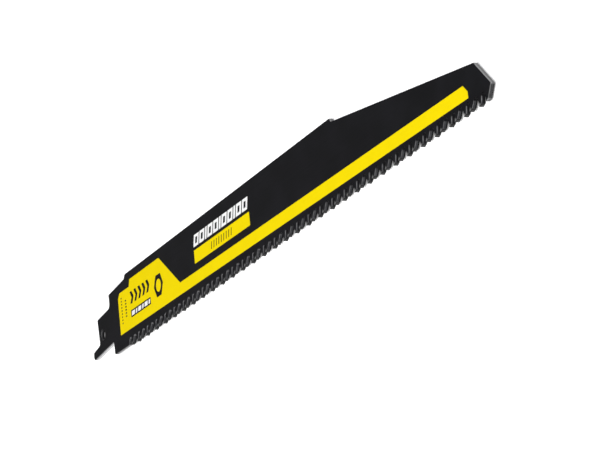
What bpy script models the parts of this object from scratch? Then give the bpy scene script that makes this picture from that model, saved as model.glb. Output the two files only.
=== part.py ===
"""Reciprocating saw blade, twelve inch, six teeth per inch, with a printed face.

Lengths are in metres. X runs from the shank to the nose, Y from the teeth to the spine
and Z out of the printed face. The blade lies flat on the tips of the teeth that are set
downwards, with the origin under the middle of its outline.
"""

import math

import bmesh
import bpy
from mathutils import Matrix, Vector

# Strip and overall size
INCH = 0.0254
OVERALL_LENGTH = 12 * INCH
BODY_HEIGHT = 1.0 * INCH
THICKNESS = 0.05 * INCH

# Shank, measured along and across its own canted axis from the centre of its hole
SHANK_CANT = math.radians(5.2)
HOLE_HEIGHT = 0.0102
HOLE_DIAMETER = 0.0040
HOLE_TO_SHOULDER = 0.00945
HOLE_TO_SHANK_END = 0.0041
SHANK_WIDTH = 0.0127
SHANK_ABOVE_HOLE = 0.0068
NECK_ABOVE_HOLE = 0.0115
TAIL_LENGTH = 0.0074
TAIL_ROOT_WIDTH = 0.0034
TAIL_END_WIDTH = 0.0028
SHANK_CORNER_RADIUS = 0.0006
SHANK_FILLET_RADIUS = 0.0020
TAIL_FILLET_RADIUS = 0.0011
TAIL_END_RADIUS = 0.0011
SLOT_FILLET_RADIUS = 0.0007
HEEL_CORNER_RADIUS = 0.0005

# Spine and nose
SPINE_START = 0.0258
SPINE_CORNER_RADIUS = 0.0005
NECK_RAMP_ANGLE = math.radians(47)
NECK_RAMP_RADIUS = 0.0009
TAPER_LENGTH = 0.0940
STEP_DROP = 0.00125
STEP_RUN = 0.0009
NOSE_TOP_HEIGHT = 0.0119
NOSE_TOP_SETBACK = 0.0077
NOSE_POINT_HEIGHT = 0.0039
NOSE_FOOT_SETBACK = 0.0023

# Teeth, which cut on the pull stroke and so lean towards the shank
TEETH_PER_INCH = 6
FIRST_TIP = 0.0276
GULLET_DEPTH = 0.0029
GULLET_RADIUS = 0.00095
RAKE_ANGLE = math.radians(2)
LAND_LENGTH = 0.0015
LAND_ANGLE = math.radians(20)
BACK_ANGLE = math.radians(64)
LAST_LAND = 0.0005
TOOTH_SET = 0.00028
SET_LINE_SHARE = 0.8

# Hard-metal tip welded to each set tooth, proud of the strip all round
TIP_LENGTH = 0.0013
TIP_HEIGHT = 0.0015
TIP_BACK_HEIGHT = 0.0007
TIP_PROUD = 0.00005
TIP_SIDE = 0.00006

# Print, in a frame tilted a little against the blade and read from the first tooth
PRINT_TILT = math.radians(-0.38)
PRINT_THICKNESS = 0.00003
PRINT_ROOT = 0.0003
PRINT_START = 0.0176
PANEL_BOTTOM = 0.00565
STRIPE_WIDTH = 0.0040
PANEL_SHELF = 0.01455
PANEL_TOP = 0.01695
PANEL_CHAMFER = 0.00175
SHELF_LENGTH = 0.0113
SHELF_RAMP = 0.0010
PANEL_PEAK = 0.0408
PANEL_FOOT = 0.0580
STRIPE_NOSE_MARGIN = 0.0124
STRIPE_END_SETBACK = 0.0022
STRIPE_END_HEIGHT = 0.0018
WORD_BOX_START = 0.0721
WORD_BOX_LENGTH = 0.0465
WORD_BOX_BOTTOM = 0.0066
WORD_BOX_HEIGHT = 0.00435

# Plain marks: open ones in the yellow, and two rows of white frames and bars
MARKS_START = 0.0115
MARKS_END = 0.0307
CHEVRON_BOTTOM = 0.00825
CHEVRON_TOP = 0.01255
CHEVRON_WIDTH = 0.0020
CHEVRON_REACH = 0.0016
CHEVRON_PITCH = 0.0039
CHEVRON_COUNT = 5
BLOCK_BOTTOM = 0.0036
BLOCK_TOP = 0.0061
BLOCK_MARGIN = 0.0005
BLOCK_BAR_LEAN = 0.0005
BLOCK_BAR_SHARES = (2.6, 0.9, 1.2, 0.9, 2.6, 0.9, 1.2, 0.9, 2.6, 0.9, 1.2)
NUT_CENTRE = (0.0388, 0.00805)
NUT_RADIUS = 0.0043
NUT_BORE_RADIUS = 0.0022
NUT_BORE_SEGMENTS = 16
TICK_COLUMNS = ((0.0025, 0.0010, 0.00335, 9), (0.0063, 0.0014, 0.00495, 6))
TICK_PITCH = 0.0011
TICK_WIDTH = 0.0005
BOX_MARK_LENGTH = 0.0178
BOX_MARK_MARGIN = 0.0010
BOX_MARK_LEAN = 0.0006
BOX_MARK_WIDTH = 0.0006
BOX_MARK_COUNT = 9
WHITE_BOTTOM = 0.01205
WHITE_HEIGHT = 0.0038
WHITE_LEAN = 0.0012
WHITE_GAP = 0.0007
WHITE_BAR = 0.0014
WHITE_SIDE = 0.0013
WHITE_RAIL = 0.0009
WHITE_PATTERN = (1, 1, 0, 1, 1, 0, 1, 1, 0, 1, 1)

ARC_STEP = math.radians(15)
HOLE_SEGMENTS = 40
LEVEL_GAP = 1e-6

TOOTH_PITCH = INCH / TEETH_PER_INCH
SET_LINE = GULLET_DEPTH * SET_LINE_SHARE


def clear_scene():
    for thing in list(bpy.data.objects):
        bpy.data.objects.remove(thing, do_unlink=True)


def new_collection(name):
    collection = bpy.data.collections.new(name)
    bpy.context.scene.collection.children.link(collection)
    return collection


def new_material(name, colour, roughness, metallic):
    material = bpy.data.materials.new(name)
    material.use_nodes = True
    shader = material.node_tree.nodes["Principled BSDF"]
    shader.inputs["Base Color"].default_value = (*colour, 1.0)
    shader.inputs["Roughness"].default_value = roughness
    shader.inputs["Metallic"].default_value = metallic
    material.diffuse_color = (*colour, 1.0)
    return material


def meeting(start, direction, other_start, other_direction):
    """The point where two lines in the plane cross."""
    across = direction.cross(other_direction)
    reach = (other_start - start).cross(other_direction) / across
    return start + direction * reach


def heading(angle):
    return Vector((math.cos(angle), math.sin(angle)))


AHEAD = heading(0)
UP = heading(math.pi / 2)
LAND = heading(LAND_ANGLE)
RAKE = heading(math.pi / 2 - RAKE_ANGLE)


def rounded(corners):
    """The closed outline through (point, radius) corners, with an arc at each radius."""
    outline = []
    count = len(corners)
    for index, (point, radius) in enumerate(corners):
        if radius == 0:
            outline.append(point)
            continue
        into = (point - corners[index - 1][0]).normalized()
        away = (corners[(index + 1) % count][0] - point).normalized()
        turn = math.atan2(into.cross(away), into.dot(away))
        start = point - into * radius * math.tan(abs(turn) / 2)
        side = math.copysign(1, turn)
        centre = start + Vector((-into.y, into.x)) * radius * side
        steps = max(2, math.ceil(abs(turn) / ARC_STEP))
        for step in range(steps + 1):
            spoke = Matrix.Rotation(turn * step / steps, 2) @ (start - centre)
            outline.append(centre + spoke)
    return outline


def shank_point(along, across):
    """A point of the canted shank, from its distances to the hole's centre."""
    return Vector((0, HOLE_HEIGHT)) + Matrix.Rotation(SHANK_CANT, 2) @ Vector((along, across))


def shank_corners():
    """From the spine's rear end round the neck, shank and tail to the body's heel."""
    axis = heading(SHANK_CANT)
    upright = heading(SHANK_CANT + math.pi / 2)
    spine_end = Vector((SPINE_START, BODY_HEIGHT))
    ramp_foot = meeting(
        spine_end, -heading(NECK_RAMP_ANGLE), shank_point(0, NECK_ABOVE_HOLE), axis
    )
    shoulder = HOLE_TO_SHOULDER
    end = -HOLE_TO_SHANK_END
    tail_end = end - TAIL_LENGTH
    top = SHANK_ABOVE_HOLE
    bottom = top - SHANK_WIDTH
    heel = meeting(shank_point(shoulder, 0), upright, land_end(FIRST_TIP - TOOTH_PITCH), AHEAD)
    return [
        (spine_end, SPINE_CORNER_RADIUS),
        (ramp_foot, NECK_RAMP_RADIUS),
        (shank_point(shoulder, NECK_ABOVE_HOLE), SHANK_CORNER_RADIUS),
        (shank_point(shoulder, top), SHANK_FILLET_RADIUS),
        (shank_point(end, top), SHANK_CORNER_RADIUS),
        (shank_point(end, bottom + TAIL_ROOT_WIDTH), TAIL_FILLET_RADIUS),
        (shank_point(tail_end, bottom + TAIL_END_WIDTH), TAIL_END_RADIUS),
        (shank_point(tail_end, bottom), TAIL_END_RADIUS),
        (shank_point(shoulder, bottom), SLOT_FILLET_RADIUS),
        (heel, HEEL_CORNER_RADIUS),
    ]


def nose_points(nose):
    """From the last tooth's land up the nose and back along the taper to the spine."""
    step_foot = nose - TAPER_LENGTH
    last = strip_point(FIRST_TIP + (tooth_count(nose) - 1) * TOOTH_PITCH)
    foot = meeting(last, LAND, Vector((nose - NOSE_FOOT_SETBACK, 0)), UP)
    return [
        foot,
        Vector((nose, NOSE_POINT_HEIGHT)),
        Vector((nose - NOSE_TOP_SETBACK, NOSE_TOP_HEIGHT)),
        Vector((step_foot, BODY_HEIGHT - STEP_DROP)),
        Vector((step_foot - STEP_RUN, BODY_HEIGHT)),
    ]


def tooth_count(nose):
    room = nose - NOSE_FOOT_SETBACK - LAST_LAND - FIRST_TIP
    return int(room / TOOTH_PITCH) + 1


def tip_point(tip, inset):
    """A tooth's point, drawn in by the same inset from its land and its rake face."""
    point = Vector((tip, 0))
    behind_land = Vector((-LAND.y, LAND.x)) * inset
    behind_rake = Vector((RAKE.y, -RAKE.x)) * inset
    return meeting(point + behind_land, LAND, point + behind_rake, RAKE)


def strip_point(tip):
    return tip_point(tip, TIP_PROUD)


def land_end(tip):
    return strip_point(tip) + LAND * LAND_LENGTH


def gullet(tip):
    """One gullet, from the land behind the last tip down its back to the next tip."""
    floor = Vector((tip, GULLET_DEPTH))
    last_land_end = land_end(tip - TOOTH_PITCH)
    back_top = meeting(last_land_end, heading(BACK_ANGLE), floor, AHEAD)
    rake_top = meeting(strip_point(tip), RAKE, floor, AHEAD)
    corners = [
        (last_land_end, 0),
        (back_top, GULLET_RADIUS),
        (rake_top, GULLET_RADIUS),
        (strip_point(tip), 0),
    ]
    return rounded(corners)


def hard_tip(tip):
    """The hard-metal tip of one tooth, in side view."""
    point = tip_point(tip, 0)
    back = point + LAND * TIP_LENGTH
    return [point, back, back + RAKE * TIP_BACK_HEIGHT, point + RAKE * TIP_HEIGHT]


def toothed_edge(nose):
    edge = []
    for index in range(tooth_count(nose)):
        edge += gullet(FIRST_TIP + index * TOOTH_PITCH)
    return edge


def blade_outline():
    """The whole outline anticlockwise, and the nose's distance from the hole."""
    spine_guide = Vector((2 * SPINE_START, BODY_HEIGHT))
    edge_guide = land_end(FIRST_TIP - TOOTH_PITCH)
    shank = rounded([(spine_guide, 0)] + shank_corners() + [(edge_guide, 0)])[1:-1]
    nose = min(point.x for point in shank) + OVERALL_LENGTH
    return toothed_edge(nose) + nose_points(nose) + shank, nose


def circle(centre, radius, count):
    return [centre + heading(2 * math.pi * n / count) * radius for n in range(count)]


def lies_at(face, level):
    return all(abs(vertex.co.z - level) < LEVEL_GAP for vertex in face.verts)


def extruded(name, outlines, low, high, collection):
    """A solid between two heights, made from closed outlines; inner ones are holes."""
    curve = bpy.data.curves.new(name, "CURVE")
    curve.dimensions = "2D"
    curve.fill_mode = "BOTH"
    curve.extrude = (high - low) / 2
    for outline in outlines:
        spline = curve.splines.new("POLY")
        spline.points.add(len(outline) - 1)
        for slot, point in zip(spline.points, outline):
            slot.co = (point.x, point.y, 0, 1)
        spline.use_cyclic_u = True
    guide = bpy.data.objects.new(name + "_guide", curve)
    guide.location.z = (low + high) / 2
    collection.objects.link(guide)
    bpy.context.view_layer.update()
    evaluated = guide.evaluated_get(bpy.context.evaluated_depsgraph_get())
    mesh = bpy.data.meshes.new_from_object(evaluated)
    mesh.transform(guide.matrix_world)
    bpy.data.objects.remove(guide)
    shape = bmesh.new()
    shape.from_mesh(mesh)
    bmesh.ops.remove_doubles(shape, verts=shape.verts, dist=1e-7)
    if len(outlines) == 1:
        for level in (low, high):
            cap = [face for face in shape.faces if lies_at(face, level)]
            bmesh.ops.dissolve_faces(shape, faces=cap)
    bmesh.ops.recalc_face_normals(shape, faces=shape.faces)
    shape.to_mesh(mesh)
    shape.free()
    solid = bpy.data.objects.new(name, mesh)
    collection.objects.link(solid)
    return solid


def sliced(solid, cuts):
    """Edges added to a solid where planes, each a point and a normal, pass through it."""
    shape = bmesh.new()
    shape.from_mesh(solid.data)
    for point, normal in cuts:
        everything = shape.verts[:] + shape.edges[:] + shape.faces[:]
        bmesh.ops.bisect_plane(
            shape, geom=everything, dist=1e-8, plane_co=point, plane_no=normal
        )
    shape.to_mesh(solid.data)
    shape.free()


def set_teeth(solid, count, shift):
    """Bends every second tooth up and the others down, from the set line to the tip."""
    sliced(solid, [((0, SET_LINE + shift.y, 0), (0, 1, 0))])
    first_gullet = FIRST_TIP - GULLET_RADIUS + shift.x
    for vertex in solid.data.vertices:
        drop = SET_LINE + shift.y - vertex.co.y
        tooth = math.ceil((vertex.co.x - first_gullet) / TOOTH_PITCH)
        if drop <= 0 or not 0 < tooth < count:
            continue
        side = 1 if tooth % 2 else -1
        vertex.co.z += side * TOOTH_SET * drop / SET_LINE


def box_outline(left, right, bottom, top, lean=0):
    """A rectangle, or a parallelogram whose top is shifted by the lean."""
    return [(left, bottom), (right, bottom), (right + lean, top), (left + lean, top)]


def row_of_bars(left, right, bottom, top, shares, lean):
    """Slanted bars side by side: the shares give bar, gap, bar and so on to the last bar."""
    scale = (right - left - lean) / sum(shares)
    bars = []
    start = left
    for index, share in enumerate(shares):
        if index % 2 == 0:
            bars.append(box_outline(start, start + share * scale, bottom, top, lean))
        start += share * scale
    return bars


def row_of_frames():
    """The long white row: wide frames with an open middle, and narrow bars between them."""
    top = WHITE_BOTTOM + WHITE_HEIGHT
    frames = sum(WHITE_PATTERN)
    bars = len(WHITE_PATTERN) - frames
    gaps = (len(WHITE_PATTERN) - 1) * WHITE_GAP
    frame = (WORD_BOX_LENGTH - WHITE_LEAN - bars * WHITE_BAR - gaps) / frames
    outlines = []
    left = WORD_BOX_START
    for is_frame in WHITE_PATTERN:
        right = left + (frame if is_frame else WHITE_BAR)
        outlines.append(box_outline(left, right, WHITE_BOTTOM, top, WHITE_LEAN))
        if is_frame:
            slip = WHITE_LEAN * WHITE_RAIL / WHITE_HEIGHT
            outlines.append(
                box_outline(
                    left + WHITE_SIDE + slip,
                    right - WHITE_SIDE + slip,
                    WHITE_BOTTOM + WHITE_RAIL,
                    top - WHITE_RAIL,
                    WHITE_LEAN - 2 * slip,
                )
            )
        left = right + WHITE_GAP
    return outlines


def chevron(start, bottom, top, width, reach):
    middle = (bottom + top) / 2
    return [
        (start, bottom),
        (start + width, bottom),
        (start + width + reach, middle),
        (start + width, top),
        (start, top),
        (start + reach, middle),
    ]


def panel_outline(nose):
    """The yellow panel at the shank with the long stripe that runs on to the nose."""
    stripe_end = nose - PRINT_START - STRIPE_NOSE_MARGIN
    return [
        (0, 0),
        (stripe_end, 0),
        (stripe_end, STRIPE_END_HEIGHT),
        (stripe_end - STRIPE_END_SETBACK, STRIPE_WIDTH),
        (PANEL_FOOT, STRIPE_WIDTH),
        (PANEL_PEAK, PANEL_TOP),
        (SHELF_LENGTH + SHELF_RAMP, PANEL_TOP),
        (SHELF_LENGTH, PANEL_SHELF),
        (PANEL_CHAMFER, PANEL_SHELF),
        (0, PANEL_SHELF - PANEL_CHAMFER),
    ]


def panel_marks():
    """Plain marks left open in the yellow panel, so that the coat shows through."""
    marks = []
    for index in range(CHEVRON_COUNT):
        start = MARKS_START + index * CHEVRON_PITCH
        marks.append(
            chevron(start, CHEVRON_BOTTOM, CHEVRON_TOP, CHEVRON_WIDTH, CHEVRON_REACH)
        )
    marks.append(box_outline(MARKS_START, MARKS_END, BLOCK_BOTTOM, BLOCK_TOP))
    marks.append(circle(Vector(NUT_CENTRE), NUT_RADIUS, 6))
    for start, length, first, count in TICK_COLUMNS:
        for index in range(count):
            low = first + index * TICK_PITCH
            marks.append(box_outline(start, start + length, low, low + TICK_WIDTH))
    return marks


def yellow_outlines(nose):
    right = WORD_BOX_START + WORD_BOX_LENGTH
    top = WORD_BOX_BOTTOM + WORD_BOX_HEIGHT
    box = box_outline(WORD_BOX_START, right, WORD_BOX_BOTTOM, top)
    first = (WORD_BOX_START + right - BOX_MARK_LENGTH) / 2
    pitch = (BOX_MARK_LENGTH - BOX_MARK_LEAN - BOX_MARK_WIDTH) / (BOX_MARK_COUNT - 1)
    low = WORD_BOX_BOTTOM + BOX_MARK_MARGIN
    high = top - BOX_MARK_MARGIN
    bars = []
    for index in range(BOX_MARK_COUNT):
        start = first + index * pitch
        bars.append(box_outline(start, start + BOX_MARK_WIDTH, low, high, BOX_MARK_LEAN))
    bore = circle(Vector(NUT_CENTRE), NUT_BORE_RADIUS, NUT_BORE_SEGMENTS)
    return [panel_outline(nose), box, bore] + panel_marks() + bars


def white_outlines():
    """The long row over the yellow box, and the short row in the panel's open block."""
    short_row = row_of_bars(
        MARKS_START + BLOCK_MARGIN,
        MARKS_END - BLOCK_MARGIN,
        BLOCK_BOTTOM + BLOCK_MARGIN,
        BLOCK_TOP - BLOCK_MARGIN,
        BLOCK_BAR_SHARES,
        BLOCK_BAR_LEAN,
    )
    return row_of_frames() + short_row


def printed(outlines, shift):
    """Print outlines turned into blade coordinates."""
    turn = Matrix.Rotation(PRINT_TILT, 2)
    datum = Vector((PRINT_START, PANEL_BOTTOM)) + shift
    return [[datum + turn @ Vector(point) for point in loop] for loop in outlines]


def combine(blade, helper, operation):
    """Adds a helper solid to the blade, with its own material, or cuts it away."""
    helper.hide_render = True
    helper.display_type = "WIRE"
    boolean = blade.modifiers.new(helper.name, "BOOLEAN")
    boolean.operation = operation
    boolean.object = helper
    boolean.material_mode = "TRANSFER"


def main():
    clear_scene()
    parts = new_collection("reciprocating_saw_blade")
    helpers = new_collection("tips_print_and_hole")
    coat = new_material("black_coat", (0.014, 0.014, 0.016), 0.42, 0.0)
    yellow = new_material("yellow_print", (0.93, 0.71, 0.01), 0.45, 0.0)
    white = new_material("white_print", (0.85, 0.85, 0.85), 0.45, 0.0)
    hard_metal = new_material("hard_metal", (0.42, 0.42, 0.43), 0.35, 1.0)

    outline, nose = blade_outline()
    left = min(point.x for point in outline)
    right = max(point.x for point in outline)
    shift = Vector((-(left + right) / 2, -BODY_HEIGHT / 2))
    low = TOOTH_SET + TIP_SIDE
    high = low + THICKNESS
    count = tooth_count(nose)

    blade = extruded("saw_blade", [[point + shift for point in outline]], low, high, parts)
    blade.data.materials.append(coat)
    first_root = FIRST_TIP + TOOTH_PITCH / 2 + shift.x
    roots = [((first_root + index * TOOTH_PITCH, 0, 0), (1, 0, 0)) for index in range(count - 1)]
    sliced(blade, roots)
    set_teeth(blade, count, shift)

    tips = [hard_tip(FIRST_TIP + index * TOOTH_PITCH) for index in range(count - 1)]
    tips = [[point + shift for point in loop] for loop in tips]
    cutting = extruded("tips", tips, low - TIP_SIDE, high + TIP_SIDE, helpers)
    cutting.data.materials.append(hard_metal)
    set_teeth(cutting, count, shift)
    combine(blade, cutting, "UNION")

    for name, outlines, material in (
        ("yellow_fields", yellow_outlines(nose), yellow),
        ("white_fields", white_outlines(), white),
    ):
        loops = printed(outlines, shift)
        field = extruded(name, loops, high - PRINT_ROOT, high + PRINT_THICKNESS, helpers)
        field.data.materials.append(material)
        combine(blade, field, "UNION")

    hole = circle(Vector((0, HOLE_HEIGHT)) + shift, HOLE_DIAMETER / 2, HOLE_SEGMENTS)
    drill = extruded("shank_hole", [hole], low - THICKNESS, high + THICKNESS, helpers)
    drill.data.materials.append(coat)
    combine(blade, drill, "DIFFERENCE")


main()
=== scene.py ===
import math

import bmesh
import bpy
import numpy as np
from mathutils import Matrix, Vector
from mathutils.geometry import tessellate_polygon


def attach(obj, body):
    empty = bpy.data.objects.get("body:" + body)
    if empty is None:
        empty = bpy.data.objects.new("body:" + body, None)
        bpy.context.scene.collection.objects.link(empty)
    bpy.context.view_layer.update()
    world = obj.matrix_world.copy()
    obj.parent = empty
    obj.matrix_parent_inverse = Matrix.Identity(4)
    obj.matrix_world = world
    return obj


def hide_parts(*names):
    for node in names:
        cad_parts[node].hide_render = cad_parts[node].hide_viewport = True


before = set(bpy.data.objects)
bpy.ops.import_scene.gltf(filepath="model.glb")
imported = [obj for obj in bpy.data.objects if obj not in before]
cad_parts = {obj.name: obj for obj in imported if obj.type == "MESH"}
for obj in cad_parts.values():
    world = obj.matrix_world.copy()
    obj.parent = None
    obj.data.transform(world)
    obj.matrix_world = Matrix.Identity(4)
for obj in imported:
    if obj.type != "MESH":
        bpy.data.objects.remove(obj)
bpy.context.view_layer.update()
print("frame loaded")

# The strip: X runs from the shank's hole to the nose, Y up from the tooth tips, Z out of the printed face
strip = {
    "length": 0.3048, "height": 0.0254, "thickness": 0.00127,
    "shankCant": math.radians(5.2), "holeHeight": 0.0102, "holeDiameter": 0.0040,
    "holeToShoulder": 0.00945, "holeToEnd": 0.0041, "shankWidth": 0.0127,
    "shankAboveHole": 0.0068, "neckAboveHole": 0.0115,
    "tailLength": 0.0074, "tailRootWidth": 0.0034, "tailEndWidth": 0.0028,
    "shankCorner": 0.0006, "shankFillet": 0.0020, "tailFillet": 0.0011,
    "tailEnd": 0.0011, "slotFillet": 0.0007, "heelCorner": 0.0005,
    "spineStart": 0.0258, "spineCorner": 0.0005, "neckRamp": math.radians(47),
    "neckRampRadius": 0.0009, "taperLength": 0.0940, "stepDrop": 0.00125,
    "stepRun": 0.0009, "noseTopHeight": 0.0119, "noseTopSetback": 0.0077,
    "nosePointHeight": 0.0039, "noseFootSetback": 0.0023, "noseRound": 0.00035,
    "edgeRound": 0.00009, "edgeSteps": 3, "arcStep": math.radians(9), "holePoints": 48,
    "bareShankReach": 0.0008, "smoothAngle": 35, "spineRub": 0.45,
}
# The teeth lean towards the shank and are bent to either side by turns. Over the gullets, a straight row of
# points crosses each face: a tooth's row places are where the points over its land, its back, its gullet and
# its rake face start, from its tip
teeth = {
    "pitch": 0.0254 / 6, "firstTip": 0.0276, "gulletDepth": 0.0029,
    "gulletRadius": 0.00095, "rake": math.radians(2), "landLength": 0.0015,
    "landAngle": math.radians(20), "backAngle": math.radians(64),
    "lastLand": 0.0005, "bend": 0.00028, "bendLineShare": 0.8,
    "sample": 0.00035, "arcStep": math.radians(14), "rowHeight": 0.0034, "rowSteps": 5,
    "rowPlaces": (0.0007, 0.0015, 0.0024, 0.0043), "rowEnd": 0.0002, "wideRow": 0.0040,
}
hardTip = {
    "length": 0.0013, "height": 0.0015, "backHeight": 0.0007, "proud": 0.00005,
    "side": 0.00006, "relief": 0.00007, "cornerRound": 0.00012, "edgeRound": 0.00006,
    "edgeSteps": 2, "arcStep": math.radians(45), "smoothAngle": 46,
}


def heading(angle):
    # the unit vector at an angle from the X axis
    return np.array([math.cos(angle), math.sin(angle)])


def turned(points, angle):
    # x cos a - y sin a and x sin a + y cos a, for each point
    c, s = math.cos(angle), math.sin(angle)
    return np.asarray(points) @ np.array([[c, s], [-s, c]])


def meeting(start, direction, otherStart, otherDirection):
    # where two lines cross: start plus so much of its direction that the rest lies on the other line
    gap = np.asarray(otherStart) - start
    across = direction[0] * otherDirection[1] - direction[1] * otherDirection[0]
    return start + direction * (gap[0] * otherDirection[1] - gap[1] * otherDirection[0]) / across


def arcAt(before, corner, after, radius, arcStep):
    # a corner turned into an arc: it starts radius tan(turn / 2) before the corner, and its centre lies one
    # radius inside both of the lines that meet there
    into = (corner - before) / np.linalg.norm(corner - before)
    away = (after - corner) / np.linalg.norm(after - corner)
    turn = math.atan2(into[0] * away[1] - into[1] * away[0], into @ away)
    start = corner - into * radius * math.tan(abs(turn) / 2)
    centre = start + np.array([-into[1], into[0]]) * math.copysign(radius, turn)
    angles = np.linspace(0, turn, max(2, math.ceil(abs(turn) / arcStep)) + 1)
    spoke = start - centre
    c, s = np.cos(angles), np.sin(angles)
    return centre + np.stack([c * spoke[0] - s * spoke[1], s * spoke[0] + c * spoke[1]], 1)


def roundedPath(corners, arcStep):
    # corners are (x, y, radius); the path is closed, and a corner of radius 0 stays sharp
    places = [np.array(corner[:2]) for corner in corners]
    pieces = []
    for index, corner in enumerate(corners):
        around = places[index - 1], places[index], places[(index + 1) % len(corners)]
        pieces.append(arcAt(*around, corner[2], arcStep) if corner[2] else around[1][None])
    return np.concatenate(pieces)


def withSteps(path, step):
    # an open path with points added along it, so that none of its edges is longer than the step
    run = np.linalg.norm(np.diff(path, axis=0), axis=1)
    pieces = [path[i] + np.linspace(0, 1, max(1, math.ceil(run[i] / step)), endpoint=False)[:, None]
              * (path[i + 1] - path[i]) for i in range(len(run))]
    return np.concatenate(pieces + [path[-1:]])


bendLine = teeth["gulletDepth"] * teeth["bendLineShare"]
land = heading(teeth["landAngle"])
rakeLine = heading(math.pi / 2 - teeth["rake"])


def pointInside(inset):
    # a tooth's point, relative to its tip, drawn in by the inset from its land and from its rake face
    behindLand = np.array([-land[1], land[0]]) * inset
    behindRake = np.array([rakeLine[1], -rakeLine[0]]) * inset
    return meeting(behindLand, land, behindRake, rakeLine)


stripPoint = pointInside(hardTip["proud"])
landEnd = stripPoint + land * teeth["landLength"]


def shankPoint(along, across):
    # a place measured from the hole's centre, along the canted shank and across it
    return np.array([0, strip["holeHeight"]]) + turned([along, across], strip["shankCant"])


def shankPath():
    # the outline from the spine round the neck, the shank, its tail and the heel to the first tooth
    s = strip
    cant = s["shankCant"]
    spineEnd = np.array([s["spineStart"], s["height"]])
    rampFoot = meeting(spineEnd, -heading(s["neckRamp"]), shankPoint(0, s["neckAboveHole"]), heading(cant))
    shoulder, end = s["holeToShoulder"], -s["holeToEnd"]
    top = s["shankAboveHole"]
    bottom = top - s["shankWidth"]
    tailEnd = end - s["tailLength"]
    edgeStart = landEnd + [teeth["firstTip"] - teeth["pitch"], 0]
    heel = meeting(shankPoint(shoulder, 0), heading(cant + math.pi / 2), edgeStart, heading(0))
    # the first and the last corner only lend their directions and are left out of the path
    corners = [
        (2 * s["spineStart"], s["height"], 0),
        (*spineEnd, s["spineCorner"]), (*rampFoot, s["neckRampRadius"]),
        (*shankPoint(shoulder, s["neckAboveHole"]), s["shankCorner"]),
        (*shankPoint(shoulder, top), s["shankFillet"]), (*shankPoint(end, top), s["shankCorner"]),
        (*shankPoint(end, bottom + s["tailRootWidth"]), s["tailFillet"]),
        (*shankPoint(tailEnd, bottom + s["tailEndWidth"]), s["tailEnd"]),
        (*shankPoint(tailEnd, bottom), s["tailEnd"]), (*shankPoint(shoulder, bottom), s["slotFillet"]),
        (*heel, s["heelCorner"]),
        (*edgeStart, 0),
    ]
    return roundedPath(corners, s["arcStep"])[1:-1]


def toothPath():
    # one tooth's span, relative to its tip: from the last tip along that land, up its back, round the gullet
    # and down the rake face to the point; with it goes the place in the straight row over each point
    before = landEnd - [teeth["pitch"], 0]
    floor = np.array([0, teeth["gulletDepth"]])
    backTop = meeting(before, heading(teeth["backAngle"]), floor, heading(0))
    rakeTop = meeting(stripPoint, rakeLine, floor, heading(0))
    backArc = arcAt(before, backTop, rakeTop, teeth["gulletRadius"], teeth["arcStep"])
    rakeArc = arcAt(backTop, rakeTop, stripPoint, teeth["gulletRadius"], teeth["arcStep"])
    lastPoint = stripPoint - [teeth["pitch"], 0]
    pieces = (withSteps(np.stack([lastPoint, before]), teeth["sample"])[:-1],
              withSteps(np.stack([before, backArc[0]]), teeth["sample"])[:-1],
              np.concatenate([backArc, rakeArc]),
              withSteps(np.stack([rakeArc[-1], stripPoint]), teeth["sample"])[1:])
    places = (*teeth["rowPlaces"], teeth["rowPlaces"][0] + teeth["pitch"])
    rows = [np.linspace(low, high, len(piece), endpoint=False)
            for piece, low, high in zip(pieces, places[:-1], places[1:])]
    return np.concatenate(pieces)[:-1], np.concatenate(rows)[:-1] - teeth["pitch"]


shank = shankPath()
shoulderEnd = shankPoint(strip["holeToShoulder"], 0)[0] + strip["bareShankReach"]
nose = shank[:, 0].min() + strip["length"]
toothedLength = nose - strip["noseFootSetback"] - teeth["lastLand"] - teeth["firstTip"]
toothCount = int(toothedLength / teeth["pitch"]) + 1
tips = teeth["firstTip"] + np.arange(toothCount) * teeth["pitch"]
centreShift = np.array([-(shank[:, 0].min() + nose) / 2, -strip["height"] / 2])
lowFace = teeth["bend"] + hardTip["side"]
highFace = lowFace + strip["thickness"]


def bendSide(x):
    # 1 on the teeth that are bent towards the printed face, -1 on those bent away from it, 0 elsewhere
    tooth = np.ceil((x - teeth["firstTip"] + teeth["gulletRadius"]) / teeth["pitch"])
    return np.where(tooth % 2 == 1, 1.0, -1.0) * ((tooth > 0) & (tooth < toothCount))


def bendAt(x, y):
    # how far a point is bent: nothing above the bend line, then evenly more down to the tip
    return bendSide(x) * teeth["bend"] * np.clip(bendLine - y, 0, None) / bendLine


def makeMesh(name, points, faces, flat, slots=None, smoothAngle=30):
    # the points move so that the blade's middle is the origin; flat faces, and edges sharper than the angle,
    # stay crisp
    place = np.asarray(points, float) + [*centreShift, 0]
    mesh = bpy.data.meshes.new(name)
    mesh.from_pydata(place.tolist(), [], faces)
    if slots is not None:
        mesh.polygons.foreach_set("material_index", np.asarray(slots, np.int32))
    mesh.update()
    mesh.set_sharp_from_angle(angle=math.radians(smoothAngle))
    mesh.polygons.foreach_set("use_smooth", ~np.asarray(flat, bool))
    piece = bpy.data.objects.new(name, mesh)
    bpy.context.scene.collection.objects.link(piece)
    return piece


def setAttribute(piece, name, values):
    layer = piece.data.attributes.new(name, "FLOAT", "POINT")
    layer.data.foreach_set("value", values.astype(np.float32))


def insetPath(path, inset):
    # each point moves inwards along the bisector of its two edges, so far that both edges move by the
    # inset: inset (a + b) / (1 + a . b), where a and b are the unit vectors inwards from the two edges
    edge = np.roll(path, -1, 0) - path
    edge /= np.linalg.norm(edge, axis=1)[:, None]
    inward = np.stack([-edge[:, 1], edge[:, 0]], 1)
    last = np.roll(inward, 1, 0)
    return path + inset * (inward + last) / (1 + (inward * last).sum(1))[:, None]


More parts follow.
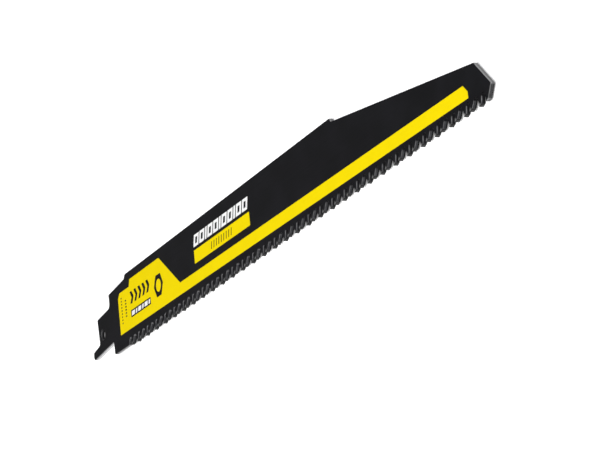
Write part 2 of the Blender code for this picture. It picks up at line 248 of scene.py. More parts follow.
def edgeProfile(low, high, edgeRound, steps):
    # from the upper face's rim round an arc to the wall, down it and round again: pairs of an inset,
    # r (1 - sin t), and a height, r (1 - cos t) under the face
    turn = np.linspace(0, math.pi / 2, steps + 1)
    upper = np.stack([edgeRound * (1 - np.sin(turn)), high - edgeRound * (1 - np.cos(turn))], 1)
    lower = upper[::-1].copy()
    lower[:, 1] = low + high - lower[:, 1]
    return np.concatenate([upper, lower])


def gridFaces(rows, columns, start=0):
    # one face for each cell of a grid of closed rows, whose points run row by row
    row, column = np.meshgrid(np.arange(rows - 1), np.arange(columns), indexing="ij")
    after = (column + 1) % columns
    cell = np.stack([row * columns + column, (row + 1) * columns + column,
                     (row + 1) * columns + after, row * columns + after], -1)
    return cell.reshape(-1, 4) + start


# How far over the tips the dark coat colour of the gullets ends, by the shank and by the nose, and how
# softly; above the line it is partly coat and partly a painted dark reflection in the gullets' curve, and the
# line's fall to the nose follows that reflection
coatEdge = {"shank": 0.00300, "nose": 0.00225, "fade": 0.0003}


def makeStrip():
    s = strip
    onePath, oneRow = toothPath()
    edge = (onePath[None] + np.stack([tips, 0 * tips], 1)[:, None]).reshape(-1, 2)
    rowPlaces = (oneRow[None] + tips[:, None]).reshape(-1)
    # no land comes before the first gullet
    skip = int((onePath[:, 0] < (landEnd[0] - teeth["pitch"] - 1e-6)).sum())
    edge, rowPlaces = edge[skip:], rowPlaces[skip:]
    lastPoint = stripPoint + [tips[-1], 0]
    foot = meeting(lastPoint, land, np.array([nose - s["noseFootSetback"], 0]), heading(math.pi / 2))
    nosePoint = np.array([nose, s["nosePointHeight"]])
    noseTop = np.array([nose - s["noseTopSetback"], s["noseTopHeight"]])
    noseArc = arcAt(foot, nosePoint, noseTop, s["noseRound"], s["arcStep"])
    stepFoot = [nose - s["taperLength"], s["height"] - s["stepDrop"]]
    stepTop = [nose - s["taperLength"] - s["stepRun"], s["height"]]
    # each stretch of the outline with the finish of its wall: 0 is the coat, 1 sheared steel, 2 dark steel,
    # 3 ground steel with painted highlights and shade, and 4 the bare steel of the shank and of the heel,
    # with a painted highlight
    bareShank = (shank[:, 0] < shoulderEnd) | (shank[:, 1] < teeth["gulletDepth"])
    route = [(edge, 3), ([lastPoint], 1), ([foot], 2), (noseArc, 1), ([noseTop], 0),
             ([stepFoot], 1), ([stepTop], 0), (shank, np.where(bareShank, 4, 0))]
    path = np.concatenate([points for points, finish in route])
    wallSlots = np.concatenate([np.broadcast_to(finish, len(points)) for points, finish in route])
    count, toothed = len(path), len(edge) + 1

    profile = edgeProfile(lowFace, highFace, s["edgeRound"], s["edgeSteps"])
    levels = len(profile)

    # the hole: a circle with the same edge, seen from inside
    many = s["holePoints"]
    turn = np.linspace(0, -2 * math.pi, many, endpoint=False) + math.pi / 2
    circle = [0, s["holeHeight"]] + np.stack([np.cos(turn), np.sin(turn)], 1) * s["holeDiameter"] / 2
    holeStart = levels * count
    rings = [np.column_stack([insetPath(loop, inset), np.full(len(loop), height)])
             for loop in (path, circle) for inset, height in profile]
    faces = gridFaces(levels, count).tolist() + gridFaces(levels, many, holeStart).tolist()
    slots = np.tile(wallSlots, levels - 1).tolist() + [3] * (many * (levels - 1))
    walls = len(faces)
    total = holeStart + levels * many

    # each face: the toothed edge is carried up to a straight row, then one wide face per tooth, then the rest
    rowPlaces = np.append(rowPlaces, rowPlaces[-1] + teeth["rowEnd"])
    perTooth = len(onePath)
    stops = np.append(np.arange(0, toothed - 1, perTooth), toothed - 1)
    aside = np.abs(path[:, 0])
    topIn = int(np.argmin(aside + (path[:, 1] < s["holeHeight"])))
    bottomIn = int(np.argmin(aside + (path[:, 1] > s["holeHeight"])))
    share = np.linspace(0, 1, teeth["rowSteps"] + 1)[1:, None, None]
    goal = np.stack([rowPlaces, np.full(toothed, teeth["rowHeight"])], 1)
    wide = np.stack([rowPlaces[stops], np.full(len(stops), teeth["wideRow"])], 1)
    for ring, height, flip in ((0, highFace, False), (levels - 1, lowFace, True)):
        field = (rings[ring][None, :toothed, :2] * (1 - share) + goal * share).reshape(-1, 2)
        rings += [np.column_stack([loop, np.full(len(loop), height)]) for loop in (field, wide)]
        index = np.concatenate([ring * count + np.arange(toothed)[None],
                                total + np.arange(len(field)).reshape(-1, toothed)])
        total += len(field)
        corners = index[:-1, :-1], index[:-1, 1:], index[1:, 1:], index[1:, :-1]
        made = np.stack(corners, -1).reshape(-1, 4).tolist()
        upper = np.arange(len(stops)) + total
        total += len(stops)
        made += [index[-1, low:high + 1].tolist() + [upper[i + 1], upper[i]]
                 for i, (low, high) in enumerate(zip(stops[:-1], stops[1:]))]
        left = [upper[0]] + index[1:, 0][::-1].tolist()
        right = index[1:, -1].tolist() + [upper[-1]]
        outside = ring * count + np.arange(count)
        hole = holeStart + ring * many + np.arange(many)
        # the hole's points run clockwise from its top, and half of them lead to its bottom
        body = (outside[bottomIn:].tolist() + outside[:1].tolist() + left[::-1] + upper[1:-1].tolist()
                + right[::-1] + outside[toothed - 1:topIn + 1].tolist() + hole[:many // 2 + 1].tolist())
        end = outside[topIn:bottomIn + 1].tolist() + hole[many // 2:].tolist() + [hole[0]]
        made += [body, end]
        if flip:
            made = [face[::-1] for face in made]
        faces += made
        slots += [0] * len(made)

    # how far through the strip a point lies, from 0 on the back to 1 on the printed face
    points = np.concatenate(rings)
    through = (points[:, 2] - lowFace) / s["thickness"]
    points[:, 2] += bendAt(points[:, 0], points[:, 1])
    piece = makeMesh("bladeStrip", points, faces, np.arange(len(faces)) >= walls, slots, s["smoothAngle"])
    setAttribute(piece, "through", through)
    # 1 on the teeth that are bent towards the printed face, 0 on those bent away from it, a half elsewhere
    setAttribute(piece, "bentUp", (bendSide(points[:, 0]) + 1) / 2)

    # how far a point lies under the line where the dark coat colour ends, which falls a little to the nose,
    # in lengths of the fade; over the line it is partly coat and partly a painted dark reflection; the hole's
    # wall has none of it
    c = coatEdge
    line = c["shank"] + (c["nose"] - c["shank"]) * (points[:, 0] - tips[0]) / (tips[-1] - tips[0])
    below = (line - points[:, 1]) / c["fade"] + 0.5
    below[holeStart:holeStart + levels * many] = 1
    setAttribute(piece, "belowCoatAndReflection", below)

    # how much of the coat the rounded edge has lost: all by the teeth, less along the spine, and none on the
    # faces or on the teeth's far side
    onEdge = [0 < inset < s["edgeRound"] * 0.99 for inset, height in profile]
    rub = np.zeros(len(points))
    edgeRub = rub[:holeStart].reshape(levels, count)
    edgeRub[:] = np.outer(onEdge, np.where(path[:, 1] < teeth["rowHeight"], 1.0, s["spineRub"]))
    edgeRub[s["edgeSteps"] + 1:, :toothed] = 0
    setAttribute(piece, "rubbedEdge", rub)

    # how much a wall looks towards the nose: nearly all of it on a tooth's back, none in a gullet's floor
    facing = np.zeros(len(points))
    for loop, start in ((path, 0), (circle, holeStart)):
        along = np.roll(loop, -1, 0) - np.roll(loop, 1, 0)
        rise = along[:, 1] / np.linalg.norm(along, axis=1)
        facing[start:start + levels * len(loop)] = np.tile(rise, levels)
    setAttribute(piece, "facesNose", facing)
    return piece


bladeStrip = makeStrip()
print("strip made:", len(bladeStrip.data.polygons), "faces")


def makeTips():
    # one ground block in side view, widest at its point and drawn in behind and above it, then repeated
    h = hardTip
    point = pointInside(0)
    back = point + land * h["length"]
    corners = [(*point, 0), (*back, h["cornerRound"]),
               (*(back + rakeLine * h["backHeight"]), h["cornerRound"]),
               (*(point + rakeLine * h["height"]), h["cornerRound"] / 2)]
    path = roundedPath(corners, h["arcStep"])
    count = len(path)
    profile = edgeProfile(lowFace - h["side"], highFace + h["side"], h["edgeRound"], h["edgeSteps"])
    rings = np.concatenate([np.column_stack([insetPath(path, inset), np.full(count, height)])
                            for inset, height in profile])
    # away goes from 0 at the point to 1 at the block's height over it, where the relief draws its sides in
    away = np.clip(np.linalg.norm(rings[:, :2] - point, axis=1) / h["height"], 0, 1)
    middle = (lowFace + highFace) / 2
    rings[:, 2] = middle + (rings[:, 2] - middle) * (1 - h["relief"] * away / (highFace - middle + h["side"]))
    oneFaces = gridFaces(len(profile), count)
    copies = toothCount - 1
    points = np.tile(rings, (copies, 1))
    points[:, 0] += np.repeat(tips[:-1], len(rings))
    # the bend is read a hair further on, so that the whole of a block takes its own tooth's
    points[:, 2] += bendAt(points[:, 0] + 1e-5, points[:, 1])
    start = np.arange(copies) * len(rings)
    walls = (oneFaces[None] + start[:, None, None]).reshape(-1, 4)
    upper = start[:, None] + np.arange(count)[None]
    lower = (start[:, None] + (len(profile) - 1) * count + np.arange(count)[None])[:, ::-1]
    faces = walls.tolist() + upper.tolist() + lower.tolist()
    isSide = np.arange(len(faces)) >= len(walls)
    piece = makeMesh("hardMetalTips", points, faces, isSide, np.where(isSide, 0, 1), h["smoothAngle"])
    setAttribute(piece, "fromPoint", np.tile(away, copies))
    return piece


hardMetalTips = makeTips()
print("tips made:", len(hardMetalTips.data.polygons), "faces")


# The print lies in a frame of its own, tilted a little against the blade. A tick column is its place, its
# ticks' length, the height of the first and how many there are
ink = {
    "tilt": math.radians(-0.38), "start": 0.0176, "bottom": 0.00565, "thickness": 0.00003,
    "root": 0.00001, "cornerRound": 0.00010, "fieldRound": 0.00015, "arcStep": math.radians(30),
    "stripeWidth": 0.0040, "shelf": 0.01455, "top": 0.01695, "chamfer": 0.00175,
    "shelfLength": 0.0113, "shelfRamp": 0.0010, "peak": 0.0408, "foot": 0.0580,
    "noseMargin": 0.0124, "endSetback": 0.0022, "endHeight": 0.0018,
    "boxStart": 0.0721, "boxLength": 0.0465, "boxBottom": 0.0066, "boxHeight": 0.00435,
    "marksStart": 0.0115, "marksEnd": 0.0307, "chevronBottom": 0.00825, "chevronTop": 0.01255,
    "chevronWidth": 0.0020, "chevronReach": 0.0016, "chevronPitch": 0.0039, "chevronCount": 5,
    "blockBottom": 0.0036, "blockTop": 0.0061, "blockMargin": 0.0005, "blockLean": 0.0005,
    "blockShares": (2.6, 0.9, 1.2, 0.9, 2.6, 0.9, 1.2, 0.9, 2.6, 0.9, 1.2),
    "nutCentre": (0.0388, 0.00805), "nutRadius": 0.0043, "boreRadius": 0.0022, "borePoints": 40,
    "tickColumns": ((0.0025, 0.0010, 0.00335, 9), (0.0063, 0.0014, 0.00495, 6)),
    "tickPitch": 0.0011, "tickWidth": 0.0005,
    "boxMarkLength": 0.0178, "boxMarkMargin": 0.0010, "boxMarkLean": 0.0006,
    "boxMarkWidth": 0.0006, "boxMarkCount": 9,
    "whiteBottom": 0.01205, "whiteHeight": 0.0038, "whiteLean": 0.0012, "whiteGap": 0.0007,
    "whiteBar": 0.0014, "whiteSide": 0.0013, "whiteRail": 0.0009,
    "whitePattern": (1, 1, 0, 1, 1, 0, 1, 1, 0, 1, 1),
}


def box(left, right, bottom, top, lean=0.0):
    # a rectangle whose top edge is moved along by the lean
    return np.array([(left, bottom), (right, bottom), (right + lean, top), (left + lean, top)])


def barRow(left, right, bottom, top, shares, lean):
    # slanted bars side by side: the shares are bar, gap, bar and so on, stretched to fill the row
    ends = np.cumsum([0, *shares]) * (right - left - lean) / sum(shares) + left
    return [box(ends[i], ends[i + 1], bottom, top, lean) for i in range(0, len(shares), 2)]


def softened(loop, radius=ink["cornerRound"]):
    # a printed shape with its corners a little round, as ink leaves them
    return roundedPath([(*point, radius) for point in loop], ink["arcStep"])


def ringOf(radius, turn):
    # points round the centre of the nut, at these angles
    return np.array(ink["nutCentre"]) + radius * np.stack([np.cos(turn), np.sin(turn)], 1)


def panelShapes():
    # the yellow panel with its stripe, and the marks left open in it: chevrons, a block, a nut and two
    # columns of ticks
    k = ink
    stripeEnd = nose - ink["start"] - k["noseMargin"]
    panel = np.array([
        (0, 0), (stripeEnd, 0), (stripeEnd, k["endHeight"]), (stripeEnd - k["endSetback"], k["stripeWidth"]),
        (k["foot"], k["stripeWidth"]), (k["peak"], k["top"]), (k["shelfLength"] + k["shelfRamp"], k["top"]),
        (k["shelfLength"], k["shelf"]), (k["chamfer"], k["shelf"]), (0, k["shelf"] - k["chamfer"])])
    middle = (k["chevronBottom"] + k["chevronTop"]) / 2
    width, reach = k["chevronWidth"], k["chevronReach"]
    oneChevron = np.array([(0, k["chevronBottom"]), (width, k["chevronBottom"]), (width + reach, middle),
                           (width, k["chevronTop"]), (0, k["chevronTop"]), (reach, middle)])
    loops = [oneChevron + [k["marksStart"] + i * k["chevronPitch"], 0] for i in range(k["chevronCount"])]
    loops.append(box(k["marksStart"], k["marksEnd"], k["blockBottom"], k["blockTop"]))
    loops.append(ringOf(k["nutRadius"], np.arange(6) * math.pi / 3))
    loops += [box(x, x + length, y + i * k["tickPitch"], y + i * k["tickPitch"] + k["tickWidth"])
              for x, length, y, many in k["tickColumns"] for i in range(many)]
    return softened(panel, k["fieldRound"]), [softened(loop) for loop in loops]


def boxShapes():
    # the yellow box, and the row of slanted bars left open in its middle
    k = ink
    right, top = k["boxStart"] + k["boxLength"], k["boxBottom"] + k["boxHeight"]
    first = (k["boxStart"] + right - k["boxMarkLength"]) / 2
    last = first + k["boxMarkLength"] - k["boxMarkLean"] - k["boxMarkWidth"]
    bars = [box(x, x + k["boxMarkWidth"], k["boxBottom"] + k["boxMarkMargin"], top - k["boxMarkMargin"],
                k["boxMarkLean"]) for x in np.linspace(first, last, k["boxMarkCount"])]
    outline = box(k["boxStart"], right, k["boxBottom"], top)
    return softened(outline, k["fieldRound"]), [softened(bar) for bar in bars]


def whiteShapes():
    # the long row over the yellow box, of frames and of bars between them, and the short row of bars in the
    # panel's open block; a frame's opening leans as the frame does
    k = ink
    frames = sum(k["whitePattern"])
    spare = len(k["whitePattern"]) - frames
    width = (k["boxLength"] - k["whiteLean"] - spare * k["whiteBar"]
             - (len(k["whitePattern"]) - 1) * k["whiteGap"]) / frames
    slip = k["whiteLean"] * k["whiteRail"] / k["whiteHeight"]
    bottom, top, left = k["whiteBottom"], k["whiteBottom"] + k["whiteHeight"], k["boxStart"]
    row = []
    for isFrame in k["whitePattern"]:
        right = left + (width if isFrame else k["whiteBar"])
        outline = softened(box(left, right, bottom, top, k["whiteLean"]))
        opening = box(left + k["whiteSide"] + slip, right - k["whiteSide"] + slip, bottom + k["whiteRail"],
                      top - k["whiteRail"], k["whiteLean"] - 2 * slip)
        row.append((outline, [softened(opening)] if isFrame else []))
        left = right + k["whiteGap"]
    margin = k["blockMargin"]
    return row + [(softened(bar), []) for bar in barRow(
        k["marksStart"] + margin, k["marksEnd"] - margin, k["blockBottom"] + margin,
        k["blockTop"] - margin, k["blockShares"], k["blockLean"])]


def inkSheet(name, fields):
    # each field is an outline and the loops left open in it: both faces filled, with a wall round every loop
    points, faces, start = [], [], 0
    low, high = highFace - ink["root"], highFace + ink["thickness"]
    for outline, openLoops in fields:
        loops = [outline] + openLoops
        flat = np.concatenate(loops)
        place = np.array([ink["start"], ink["bottom"]]) + turned(flat, ink["tilt"])
        count = len(flat)
        triangles = np.array(tessellate_polygon([[Vector((*p, 0)) for p in loop] for loop in loops]))
        a, b, c = (flat[triangles[:, i]] for i in range(3))
        side, other = b - a, c - a
        clockwise = side[:, 0] * other[:, 1] - side[:, 1] * other[:, 0] < 0
        triangles[clockwise] = triangles[clockwise][:, ::-1]
        points.append(np.column_stack([np.tile(place, (2, 1)), np.repeat([high, low], count)]))
        faces += (triangles + start).tolist() + (triangles[:, ::-1] + start + count).tolist()
        first = 0
        for number, loop in enumerate(loops):
            here = first + np.arange(len(loop))
            after = first + (np.arange(len(loop)) + 1) % len(loop)
            area = (loop[:, 0] * np.roll(loop[:, 1], -1) - loop[:, 1] * np.roll(loop[:, 0], -1)).sum()
            solidOnLeft = (area > 0) == (number == 0)
            wall = np.stack([here, here + count, after + count, after], 1) + start
            faces += (wall if solidOnLeft else wall[:, ::-1]).tolist()
            first += len(loop)
        start += 2 * count
    piece = makeMesh(name, np.concatenate(points), faces, np.ones(len(faces)))
    # the thinnest triangles of the fill have no side of their own, so all take theirs from their neighbours
    shape = bmesh.new()
    shape.from_mesh(piece.data)
    bmesh.ops.recalc_face_normals(shape, faces=shape.faces)
    shape.to_mesh(piece.data)
    shape.free()
    return piece


bore = ringOf(ink["boreRadius"], np.linspace(0, 2 * math.pi, ink["borePoints"], endpoint=False))
yellowPrint = inkSheet("yellowPrint", [panelShapes(), boxShapes(), (bore, [])])
whitePrint = inkSheet("whitePrint", whiteShapes())
print("print made:", len(yellowPrint.data.polygons) + len(whitePrint.data.polygons), "faces")


class Wire:
    # a socket that takes Python's own operators: each of them adds one Math node
    def __init__(self, tree, socket=None):
        self.tree, self.socket = tree, socket

    def node(self, kind, settings=None, sockets=None, out=0):
        # adds any node: first its settings, then the values or wires of its sockets
        made = self.tree.nodes.new("ShaderNode" + kind)
        for key, value in (settings or {}).items():
            setattr(made, key, value)
        for key, value in (sockets or {}).items():
            if isinstance(value, Wire):
                self.tree.links.new(value.socket, made.inputs[key])
            else:
                made.inputs[key].default_value = value
        return Wire(self.tree, made.outputs[out])

    def math(self, operation, *values, clamp=False):
        return self.node("Math", {"operation": operation, "use_clamp": clamp}, dict(enumerate(values)))

    def __add__(self, other): return self.math("ADD", self, other)
    def __sub__(self, other): return self.math("SUBTRACT", self, other)
    def __rsub__(self, other): return self.math("SUBTRACT", other, self)
    def __mul__(self, other): return self.math("MULTIPLY", self, other)
    __radd__, __rmul__ = __add__, __mul__

    def between(self, low, high, first=0.0, last=1.0):
        # eases from first to last by 3 t t - 2 t t t, where t is the value's way from low to high, 0 to 1
        return self.node("MapRange", {"interpolation_type": "SMOOTHSTEP"},
                         {"Value": self, "From Min": low, "From Max": high, "To Min": first, "To Max": last})

    def clamped(self):
        return self.math("ADD", self, 0.0, clamp=True)

    def mix(self, share, first, second):
        # the first colour where the share is 0 and the second where it is 1
        return self.node("Mix", {"data_type": "RGBA"}, {0: share, 6: first, 7: second}, 2)

    def attribute(self, name):
        # what setAttribute gave the piece's points
        return self.node("Attribute", {"attribute_name": name}, out="Fac")

    def noise(self, place, scale, detail=3.0, roughness=0.55):
        sockets = {"Vector": place, "Scale": scale, "Detail": detail, "Roughness": roughness}
        return self.node("TexNoise", None, sockets)

    def stretched(self, place, size):
        return self.node("Mapping", None, {"Vector": place, "Scale": size})

    def bump(self, height, distance, strength=1.0):
        return self.node("Bump", None, {"Height": height, "Distance": distance, "Strength": strength})


fedSockets = {"baseColor": "Base Color", "roughness": "Roughness", "metallic": "Metallic", "normal": "Normal"}


def newFinish(name, fixed):
    # a Principled material: fixed values sit on its sockets, and feed takes the wires for the others
    material = bpy.data.materials.new(name)
    material.use_nodes = True
    tree = material.node_tree
    shader = tree.nodes["Principled BSDF"]
    for key, value in fixed.items():
        shader.inputs[key].default_value = value
    w = Wire(tree)
    place = w.node("TexCoord", out="Object")

    def feed(**wires):
        for key, wire in wires.items():
            tree.links.new(wire.socket, shader.inputs[fedSockets[key]])
    return material, w, place, feed


def grey(level, blue=1.0):
    # a grey with a little more blue in it
    return (level, level, level * blue, 1)


coatLook = {"dark": grey(0.0040, 1.3), "pale": grey(0.0065, 1.3), "steel": grey(0.20, 1.02),
            "roughness": 0.42, "speculars": 0.15}


def coatFinish():
    # black coat: cloudy by a few per cent, finely pebbled, with the grinding lines of the steel just showing,
    # and rubbed down to the steel in patches along the edges
    material, w, place, feed = newFinish("blackCoat", {"Specular IOR Level": coatLook["speculars"]})
    clouds = w.noise(place, 90.0, 4.0)
    pebbles = w.noise(place, 5200.0, 2.0)
    lines = w.noise(w.stretched(place, (60.0, 5200.0, 900.0)), 1.0, 3.0, 0.6)
    colour = w.mix(clouds.between(0.35, 0.7), coatLook["dark"], coatLook["pale"])
    rub = w.attribute("rubbedEdge")
    patches = w.noise(place, 2600.0, 3.0)
    worn = (rub * (0.55 + patches * 0.9)).between(0.45, 0.85)
    feed(
        baseColor=w.mix(worn, colour, coatLook["steel"]),
        metallic=worn,
        roughness=(coatLook["roughness"] + (clouds - 0.5) * 0.10 + (lines - 0.5) * 0.12
                   + worn * 0.04).clamped(),
        normal=w.bump(pebbles + lines * 0.7, 0.000006, 0.6),
    )
    return material


cutLook = {"pale": grey(0.235, 1.02), "dark": grey(0.10, 1.02), "edge": grey(0.05, 1.02),
           "roughness": 0.40}


def cutFinish():
    # sheared steel, across the wall: a smooth pale band by the printed face, a darker torn band with pale
    # grain in it, and a dark line along the far edge
    material, w, place, feed = newFinish("cutSteel", {"Metallic": 1.0})
    through = w.attribute("through")
    drag = w.noise(w.stretched(place, (1500.0, 1500.0, 120.0)), 1.0, 3.0, 0.6)
    grain = w.noise(place, 3000.0, 3.0)
    level = through + (w.noise(place, 500.0, 2.0) - 0.5) * 0.20
    smoothBand = level.between(0.55, 0.68)
    tornBand = level.between(0.10, 0.24) * (1 - level.between(0.40, 0.52)) * 0.60
    share = (smoothBand + tornBand) * (0.70 + drag * 0.5)
    farEdge = 1 - through.between(0.03, 0.13)
    feed(
        baseColor=w.mix(farEdge, w.mix(share.clamped(), cutLook["dark"], cutLook["pale"]), cutLook["edge"]),
        roughness=(cutLook["roughness"] + (grain - 0.5) * 0.2 + (1 - smoothBand) * 0.12).clamped(),
        normal=w.bump(drag * 0.6 + grain * (1 - smoothBand) * 0.8, 0.00002, 0.5),
    )
    return material


# the levels for the far side of the wall, on the shank and on the heel, are a painted highlight
shankLook = {"near": grey(0.19, 1.02), "far": grey(0.70, 1.02), "heelNear": grey(0.012, 1.02),
             "heelHighlight": grey(0.38, 1.02), "roughness": 0.42, "halfFade": 0.0001}


def shankSteelWithPaintedHighlight():
    # the shank's sheared wall: grey by the printed face and brighter towards the back with a painted
    # highlight, darker on the heel
    material, w, place, feed = newFinish("shankSteelAndPaintedHighlight", {"Metallic": 1.0})
    through = w.attribute("through")
    drag = w.noise(w.stretched(place, (1500.0, 1500.0, 120.0)), 1.0, 3.0, 0.6)
    grain = w.noise(place, 3000.0, 3.0)
    heelStart = float(shoulderEnd + centreShift[0])
    onHeel = w.node("SeparateXYZ", None, {"Vector": place}, "X").between(
        heelStart - shankLook["halfFade"], heelStart + shankLook["halfFade"])
    feed(
        # towards the back face the wall is painted paler: a painted highlight, weaker on the heel
        baseColor=w.mix((through + (drag - 0.5) * 0.5).between(0.05, 0.85, 1.0, 0.0),
                        w.mix(onHeel, shankLook["near"], shankLook["heelNear"]),
                        w.mix(onHeel, shankLook["far"], shankLook["heelHighlight"])),
        roughness=(shankLook["roughness"] + (grain - 0.5) * 0.2).clamped(),
        normal=w.bump(drag * 0.6 + grain * 0.6, 0.00002, 0.5),
    )
    return material


darkLook = {"dark": grey(0.030, 1.03), "pale": grey(0.065, 1.03), "line": grey(0.15, 1.02),
            "edge": grey(0.018, 1.1), "roughness": 0.46}


def darkFinish():
    # the nose's end: dark mottled steel, with one pale line by the printed face and a dark far edge
    material, w, place, feed = newFinish("darkSteel", {"Metallic": 1.0})
    through = w.attribute("through")
    mottle = w.noise(place, 1600.0, 4.0, 0.6)
    grain = w.noise(place, 4200.0, 3.0)
    level = through + (w.noise(place, 700.0, 2.0) - 0.5) * 0.10
    line = level.between(0.78, 0.88) * (0.75 + mottle * 0.4)
    farEdge = 1 - level.between(0.05, 0.16)
    body = w.mix(mottle.between(0.38, 0.66), darkLook["dark"], darkLook["pale"])
    feed(
        baseColor=w.mix(farEdge, w.mix(line.clamped(), body, darkLook["line"]), darkLook["edge"]),
        roughness=(darkLook["roughness"] + (grain - 0.5) * 0.2).clamped(),
        normal=w.bump(mottle + grain * 0.6, 0.000015, 0.5),
    )
    return material


# the pale and rim levels are painted highlights on the ground steel
groundLook = {"dark": grey(0.030, 1.1), "pale": grey(0.098, 1.05), "rimHighlight": grey(0.20, 1.03),
              # the coat level is the coat's own colour and also serves as painted shade and as a painted dark
              # reflection
              "coat": grey(0.010, 1.1), "roughness": 0.42}


def groundSteelWithPaintedLight():
    # ground tooth backs and gullets: dark and mottled steel, with painted highlights: paler by the printed
    # face, near the top of the ground part and where they look towards the nose, and palest in the curve
    # between the back and the gullet's floor
    material, w, place, feed = newFinish("groundSteelAndPaintedLight", {"Metallic": 1.0})
    through = w.attribute("through")
    below = w.attribute("belowCoatAndReflection")
    bentUp = w.attribute("bentUp")
    facing = w.attribute("facesNose")
    mottle = w.noise(place, 1300.0, 4.0, 0.6)
    grind = w.noise(w.stretched(place, (400.0, 400.0, 6000.0)), 1.0, 3.0, 0.6)
    # the top of the ground part, just under the line where the coat colour ends, is painted paler: a painted
    # highlight
    high = 1 - below.between(2.5, 6.0)
    # a painted highlight in the curve between a tooth's back and its gullet's floor
    curveHighlight = facing.between(0.15, 0.45) * (1 - facing.between(0.70, 0.88)) * (1 - below.between(3.0, 5.0))
    # a painted highlight along the wall by the printed face, stronger near the top of the ground part
    rimHighlight = (through + (mottle - 0.5) * 0.10).between(0.78, 0.94) * (0.30 + high * 0.40) + curveHighlight * 0.8
    # walls that look towards the nose are painted paler, as lit from there: painted light
    body = w.mix((mottle.between(0.36, 0.66) * 0.6 + high * 0.4) * facing.between(0.20, 0.60),
                 groundLook["dark"], groundLook["pale"])
    ground = w.mix(rimHighlight.clamped(), body, groundLook["rimHighlight"])
    # above its line the coat colour stays; towards the back face, furthest on the teeth that are bent away,
    # the same dark colour is painted shade, where the neighbouring tooth hides the wall from the light
    bare = (below + (mottle - 0.5) * 0.6).clamped() * (through + bentUp * 0.30).between(0.60, 0.82)
    feed(
        baseColor=w.mix(bare, groundLook["coat"], ground),
        roughness=(groundLook["roughness"] + (mottle - 0.5) * 0.2).clamped(),
        normal=w.bump(grind + mottle * 0.6, 0.000012, 0.5),
    )
    return material


# the sides take a pale, mostly diffuse copy of the tip's metal, a painted reflection where the metal's own
# reflection would be dark; the ground walls take a dark copy
sideLook = {"dark": grey(0.05, 1.02), "pale": grey(0.26, 1.02), "roughness": 0.36, "metallic": 0.3}
backLook = {"dark": grey(0.016, 1.02), "pale": grey(0.050, 1.02), "roughness": 0.42, "metallic": 1.0}


def tipFinish(name, tipLook):
    # sintered metal with grinding lines along the blade, darker away from its point, by the weld
    material, w, place, feed = newFinish(name, {"Metallic": tipLook["metallic"]})
    fromPoint = w.attribute("fromPoint")
    weld = fromPoint.between(0.40, 0.85)
    grind = w.noise(w.stretched(place, (350.0, 350.0, 6000.0)), 1.0, 3.0, 0.6)
    grain = w.noise(place, 4200.0, 3.0)
    share = ((1 - weld * 0.85) * (0.60 + grind * 0.40 + grain * 0.25)).clamped()
    feed(
        baseColor=w.mix(share, tipLook["dark"], tipLook["pale"]),
        roughness=(tipLook["roughness"] + (grain - 0.5) * 0.18 + weld * 0.15).clamped(),
        normal=w.bump(grind + grain * 0.5, 0.000008, 0.5),
    )
    return material


yellowLook = {"full": (0.870, 0.680, 0.001, 1), "thin": (0.835, 0.650, 0.001, 1),
              "roughness": 0.50, "speculars": 0.03}
whiteLook = {"full": grey(0.93), "thin": grey(0.86), "roughness": 0.50, "speculars": 0.03}


def inkFinish(name, inkLook):
    # screen-printed ink: a little uneven in depth, with the coat's pebbles showing through it
    material, w, place, feed = newFinish(name, {"Specular IOR Level": inkLook["speculars"]})
    depth = w.noise(place, 140.0, 4.0)
    mesh = w.noise(place, 3800.0, 2.0)
    feed(
        baseColor=w.mix((depth.between(0.3, 0.75) * 0.6 + mesh * 0.4).clamped(),
                        inkLook["thin"], inkLook["full"]),
        roughness=(inkLook["roughness"] + (depth - 0.5) * 0.10).clamped(),
        normal=w.bump(mesh, 0.000006, 0.5),
    )
    return material


# The finishes of each piece, in the order of its slots
yellowInk = inkFinish("yellowInk", yellowLook)
whiteInk = inkFinish("whiteInk", whiteLook)
stripFinishes = coatFinish(), cutFinish(), darkFinish(), groundSteelWithPaintedLight(), shankSteelWithPaintedHighlight()
tipFinishes = tipFinish("tipSide", sideLook), tipFinish("tipBack", backLook)
for piece, finishes in ((bladeStrip, stripFinishes), (hardMetalTips, tipFinishes),
                        (yellowPrint, [yellowInk]), (whitePrint, [whiteInk])):
    for finish in finishes:
        piece.data.materials.append(finish)
    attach(piece, "root")
    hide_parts("saw_blade")
print("finishes made")


# A lamp is its place, its size and its power; all of them point at the origin
room = {
    "floorSize": 6.0, "floorColour": grey(0.80), "shownColour": grey(1.0), "floorRoughness": 0.9,
    "lift": 0.25, "ceilingLevel": 0.10, "horizonLevel": 0.70, "horizonTop": (0.02, 0.20),
    "lamps": (((0.20, -0.25, 1.00), 1.0, 10.2), ((0.75, -0.05, 0.70), 0.6, 2.9),
              ((-0.45, -0.35, 0.95), 0.7, 2.4)),
}


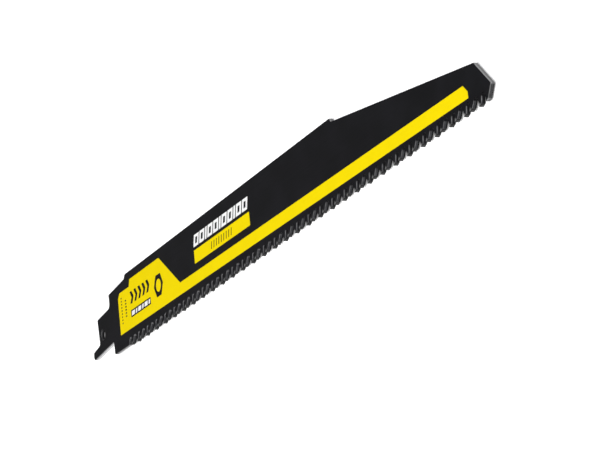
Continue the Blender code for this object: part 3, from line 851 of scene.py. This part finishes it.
def makeFloor():
    # seen and mirrored, the floor is white with its shadows; the light that it throws back is a pale grey's
    half = room["floorSize"] / 2
    corners = [(-half, -half, 0), (half, -half, 0), (half, half, 0), (-half, half, 0)]
    mesh = bpy.data.meshes.new("floor")
    mesh.from_pydata(corners, [], [(0, 1, 2, 3)])
    floor = bpy.data.objects.new("floor", mesh)
    bpy.context.scene.collection.objects.link(floor)
    material = bpy.data.materials.new("paleFloor")
    material.use_nodes = True
    tree = material.node_tree
    plain = tree.nodes["Principled BSDF"]
    plain.inputs["Base Color"].default_value = room["floorColour"]
    plain.inputs["Roughness"].default_value = room["floorRoughness"]
    plain.inputs["Specular IOR Level"].default_value = 0.0
    w = Wire(tree)
    shown = w.node("BsdfPrincipled", None, {
        "Base Color": room["shownColour"], "Roughness": room["floorRoughness"], "Specular IOR Level": 0.0,
        "Emission Color": grey(1), "Emission Strength": room["lift"]})
    kinds = "Is Camera Ray", "Is Glossy Ray", "Is Transmission Ray"
    seen, mirrored, passed = (w.node("LightPath", out=kind) for kind in kinds)
    share = w.math("MAXIMUM", w.math("MAXIMUM", seen, mirrored), passed)
    mixed = w.node("MixShader", None, {0: share, 1: Wire(tree, plain.outputs[0]), 2: shown})
    tree.links.new(mixed.socket, tree.nodes["Material Output"].inputs["Surface"])
    floor.data.materials.append(material)


def makeWorld():
    # a pale wall round the horizon, fading into a dim ceiling
    world = bpy.data.worlds.new("studio")
    bpy.context.scene.world = world
    world.use_nodes = True
    tree = world.node_tree
    w = Wire(tree)
    up = w.node("SeparateXYZ", None, {"Vector": w.node("TexCoord", out="Generated")}, "Z")
    level = up.between(*room["horizonTop"], room["horizonLevel"], room["ceilingLevel"])
    back = tree.nodes["Background"]
    tree.links.new(w.node("CombineColor", None, {0: level, 1: level, 2: level}).socket, back.inputs["Color"])


def makeLamps():
    for number, (place, size, power) in enumerate(room["lamps"]):
        light = bpy.data.lights.new("lamp%d" % number, "AREA")
        light.shape, light.size, light.energy = "SQUARE", size, power
        lamp = bpy.data.objects.new("lamp%d" % number, light)
        lamp.location = place
        lamp.rotation_euler = (-Vector(place)).to_track_quat("-Z", "Y").to_euler()
        bpy.context.scene.collection.objects.link(lamp)


# Millimetres for the sensor and the lens, metres for the place; right and up are the image's own directions
view = {
    "sensor": 36, "lens": 155.33036, "clip": (0.01, 20), "place": (0.69630605, -0.20635936, 0.31449486),
    "right": (0.39859828, -0.10185439, -0.91145219), "up": (0.27535946, 0.96125342, 0.01300116),
}


def makeCamera():
    # from past the nose, on the teeth's side and over the printed face
    camera = bpy.data.cameras.new("camera")
    camera.sensor_width, camera.lens = view["sensor"], view["lens"]
    camera.clip_start, camera.clip_end = view["clip"]
    shown = bpy.data.objects.new("camera", camera)
    bpy.context.scene.collection.objects.link(shown)
    right, up = Vector(view["right"]), Vector(view["up"])
    turn = Matrix((right, up, right.cross(up).normalized())).transposed()
    shown.matrix_world = Matrix.Translation(view["place"]) @ turn.to_4x4()
    bpy.context.scene.camera = shown


makeFloor()
makeWorld()
makeLamps()
makeCamera()
bpy.context.scene.view_settings.view_transform = "Standard"
print("floor, light and camera made")

bpy.context.view_layer.update()
